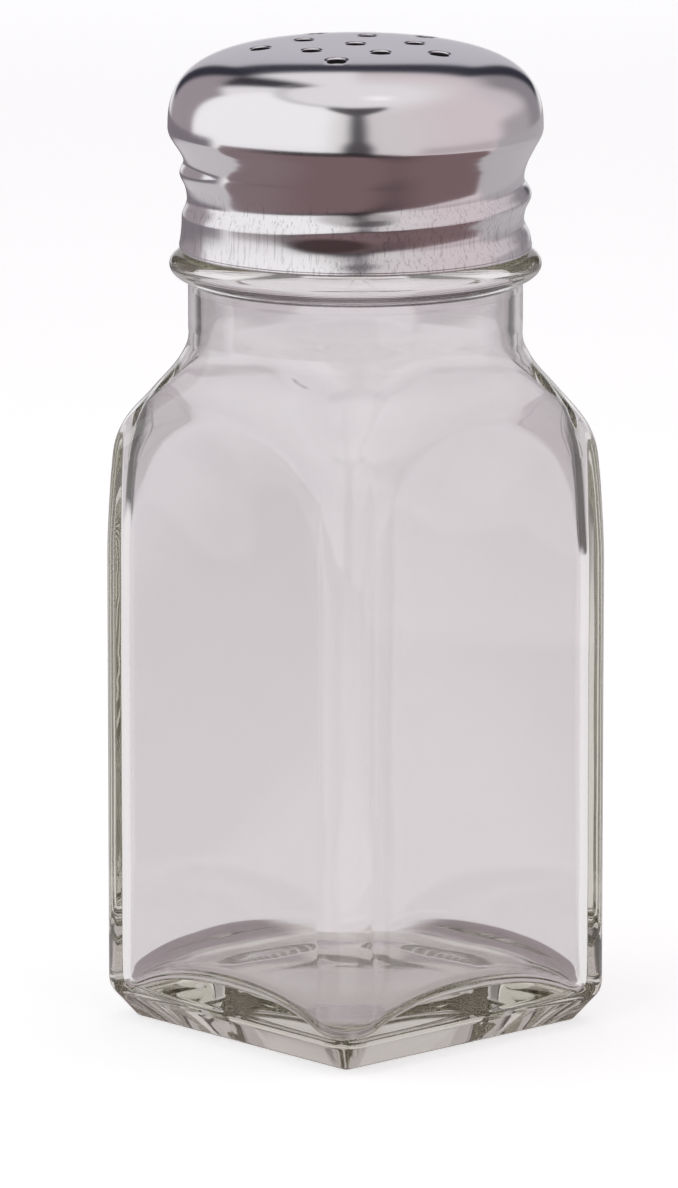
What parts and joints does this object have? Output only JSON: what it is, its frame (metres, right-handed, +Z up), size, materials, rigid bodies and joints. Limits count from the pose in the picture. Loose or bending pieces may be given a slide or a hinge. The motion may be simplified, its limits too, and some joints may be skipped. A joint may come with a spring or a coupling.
{
  "type": "spice shaker",
  "caption": "Square clear-glass spice shaker with a round threaded neck and a screw-on domed steel cap pierced for pouring.",
  "frame": {"origin": "middle of the square base, on the plane that the shaker stands on", "axes": "+Z up along the axis of the neck and the cap; X and Y square to the flat faces of the jar"},
  "size_m": [0.0382, 0.0382, 0.1016],
  "materials": {
    "clear_glass": "clear moulded glass, faintly green where it is thick",
    "polished_steel": "bright polished dome, fine upright brush marks on the skirt"
  },
  "bodies": {
    "jar": {"glass_jar": "clear_glass"},
    "cap_foot": {"cap_hem": "polished_steel"},
    "cap": {"shaker_cap": "polished_steel"}
  },
  "joints": [
    {"name": "cap_lift", "type": "slide", "parent": "jar", "child": "cap_foot", "axis": [0, 0, 1], "range_m": [0, 0.0127]},
    {"name": "cap_turn", "type": "hinge", "parent": "cap_foot", "child": "cap", "pos_m": [0, 0, 0.08065], "axis": [0, 0, 1], "range_deg": [0, 1080]}
  ],
  "couplings": [
    {"joint": "cap_lift", "follows": "cap_turn", "m_per_rad": 0.0006737}
  ]
}
